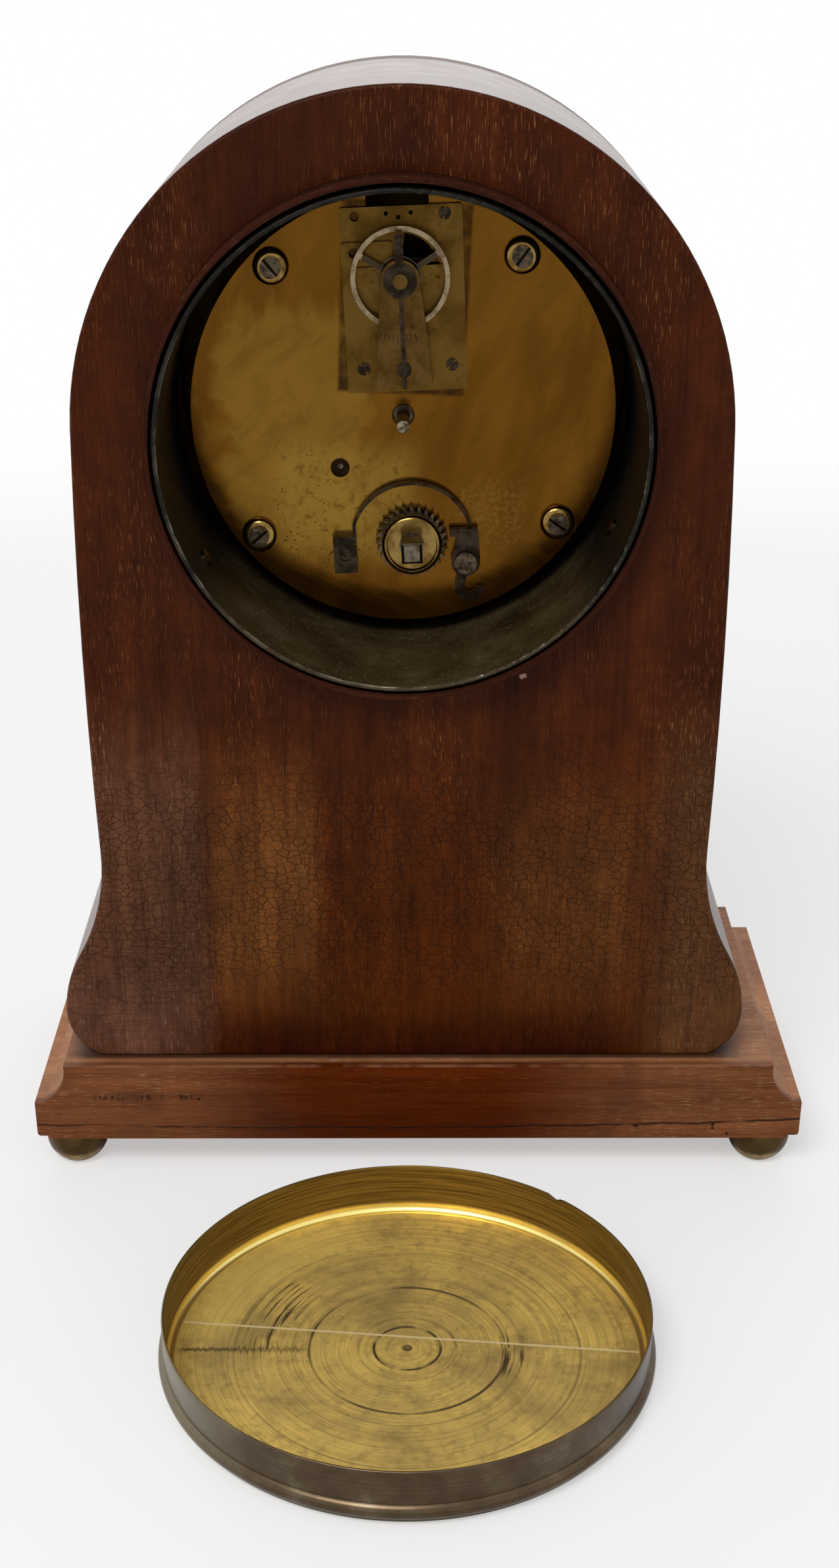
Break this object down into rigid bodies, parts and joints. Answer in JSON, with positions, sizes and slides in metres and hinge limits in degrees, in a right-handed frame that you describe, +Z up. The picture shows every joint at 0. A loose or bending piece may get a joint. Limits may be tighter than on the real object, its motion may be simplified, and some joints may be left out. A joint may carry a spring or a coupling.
{
  "type": "beehive shelf clock",
  "caption": "Round-arched wooden shelf clock on a moulded plinth, with a rear-wound platform escapement movement and a lift-off brass back cover.",
  "frame": {"origin": "on the table, below the middle of the box around the clock and the cover that lies behind it", "axes": "+Z up, the dial faces -Y, the winding side faces +Y"},
  "size_m": [0.157, 0.1826, 0.2078],
  "materials": {
    "mahogany": "aged french polish",
    "plinth_wood": "aged french polish",
    "collar_wood": "worn polish",
    "foot_brass": "lacquered, worn",
    "sleeve_brass": "dark patina",
    "cover_brass": "spun, bright inside",
    "plate_brass": "satin, tarnished",
    "platform_brass": "satin, tarnished",
    "bright_brass": "polished",
    "wheel_brass": "satin",
    "steel": "polished",
    "dark_steel": "oil blackened",
    "spring_steel": "tempered",
    "blued_steel": "blued",
    "enamel": "fired enamel",
    "glass": "clear"
  },
  "bodies": {
    "case": {"case_back_panel": "mahogany", "case_front_panel": "mahogany", "case_side_wrap": "mahogany", "case_floor": "mahogany", "foot_rear_left": "foot_brass", "foot_rear_right": "foot_brass", "foot_front_left": "foot_brass", "foot_front_right": "foot_brass", "plinth": "plinth_wood", "plinth_screws": "steel", "case_sleeve": "sleeve_brass", "hole_collar": "collar_wood", "sleeve_pins": "steel", "back_plate": "plate_brass", "front_plate": "plate_brass", "plate_pillars": "plate_brass", "pillar_collets": "bright_brass", "movement_posts": "plate_brass", "plate_screws": "steel", "click_spring": "dark_steel", "spring_block": "dark_steel", "platform_plate": "platform_brass", "pallet_bridge": "platform_brass", "lower_bridge": "plate_brass", "escape_cock": "plate_brass", "platform_screws": "steel", "hairspring": "spring_steel", "balance_cock": "platform_brass", "seat_ring": "bright_brass", "seat_ring_screws": "steel", "dial": "enamel", "bezel": "bright_brass", "glass": "glass", "glass_ring": "bright_brass"},
    "back_cover": {"back_cover": "cover_brass"},
    "winding_arbor": {"barrel_arbor": "steel", "ratchet_wheel": "steel", "ratchet_collar": "bright_brass"},
    "click": {"click": "dark_steel"},
    "barrel": {"barrel": "wheel_brass", "barrel_cover": "wheel_brass", "mainspring": "spring_steel"},
    "intermediate": {"intermediate_arbor": "steel", "intermediate_wheel": "wheel_brass"},
    "centre": {"centre_pinion": "steel", "centre_wheel": "wheel_brass"},
    "third": {"third_arbor": "steel", "third_wheel": "wheel_brass"},
    "fourth": {"fourth_arbor": "steel", "fourth_wheel": "wheel_brass"},
    "escape": {"escape_wheel": "steel"},
    "lever": {"lever": "steel"},
    "balance": {"balance_wheel": "wheel_brass"},
    "index": {"regulator_index": "dark_steel"},
    "hands": {"hand_arbor": "steel", "minute_hand": "blued_steel", "hand_nut": "steel"},
    "minute_work": {"minute_wheel": "wheel_brass"},
    "hour_work": {"hour_wheel": "wheel_brass", "hour_hand": "blued_steel"}
  },
  "joints": [
    {"name": "cover_lift", "type": "slide", "parent": "case", "child": "back_cover", "axis": [0, 0, 1], "range_m": [0, 0.15]},
    {"name": "winding", "type": "hinge", "parent": "case", "child": "winding_arbor", "pos_m": [0.00122, -0.04105, 0.12565], "axis": [0, 1, 0], "continuous": true},
    {"name": "click_lift", "type": "hinge", "parent": "case", "child": "click", "pos_m": [-0.00906, -0.04105, 0.12177], "axis": [0, -1, 0], "range_deg": [0, 12], "stiffness_Nm_per_rad": 0.004},
    {"name": "train_run", "type": "hinge", "parent": "case", "child": "centre", "pos_m": [0.0028, -0.04105, 0.1491], "axis": [0, 1, 0], "continuous": true},
    {"name": "barrel_turn", "type": "hinge", "parent": "case", "child": "barrel", "pos_m": [0.00122, -0.04105, 0.12565], "axis": [0, 1, 0], "continuous": true},
    {"name": "intermediate_turn", "type": "hinge", "parent": "case", "child": "intermediate", "pos_m": [0.0147, -0.04105, 0.13929], "axis": [0, 1, 0], "continuous": true},
    {"name": "third_turn", "type": "hinge", "parent": "case", "child": "third", "pos_m": [-0.01203, -0.04105, 0.14872], "axis": [0, 1, 0], "continuous": true},
    {"name": "fourth_turn", "type": "hinge", "parent": "case", "child": "fourth", "pos_m": [-0.00921, -0.04105, 0.16111], "axis": [0, 1, 0], "continuous": true},
    {"name": "escape_turn", "type": "hinge", "parent": "case", "child": "escape", "pos_m": [0.00268, -0.04105, 0.16062], "axis": [0, 1, 0], "continuous": true},
    {"name": "lever_swing", "type": "hinge", "parent": "case", "child": "lever", "pos_m": [0.00297, -0.04105, 0.16741], "axis": [0, 1, 0], "range_deg": [-6, 6]},
    {"name": "balance_swing", "type": "hinge", "parent": "case", "child": "balance", "pos_m": [0.00325, -0.04105, 0.1741], "axis": [0, 1, 0], "range_deg": [-250, 250], "stiffness_Nm_per_rad": 0.00001},
    {"name": "index_turn", "type": "hinge", "parent": "case", "child": "index", "pos_m": [0.00325, -0.04105, 0.1741], "axis": [0, 1, 0], "range_deg": [-14, 14]},
    {"name": "hand_set", "type": "hinge", "parent": "case", "child": "hands", "pos_m": [0.0028, -0.04105, 0.1491], "axis": [0, 1, 0], "continuous": true},
    {"name": "minute_work_turn", "type": "hinge", "parent": "case", "child": "minute_work", "pos_m": [0.00988, -0.04105, 0.15561], "axis": [0, 1, 0], "continuous": true},
    {"name": "hour_turn", "type": "hinge", "parent": "case", "child": "hour_work", "pos_m": [0.0028, -0.04105, 0.1491], "axis": [0, 1, 0], "continuous": true}
  ],
  "couplings": [
    {"joint": "barrel_turn", "follows": "train_run", "ratio": 0.04},
    {"joint": "intermediate_turn", "follows": "train_run", "ratio": -0.2},
    {"joint": "third_turn", "follows": "train_run", "ratio": -8},
    {"joint": "fourth_turn", "follows": "train_run", "ratio": 60},
    {"joint": "escape_turn", "follows": "train_run", "ratio": -600},
    {"joint": "minute_work_turn", "follows": "hand_set", "ratio": -0.33333},
    {"joint": "hour_turn", "follows": "hand_set", "ratio": 0.083333}
  ]
}
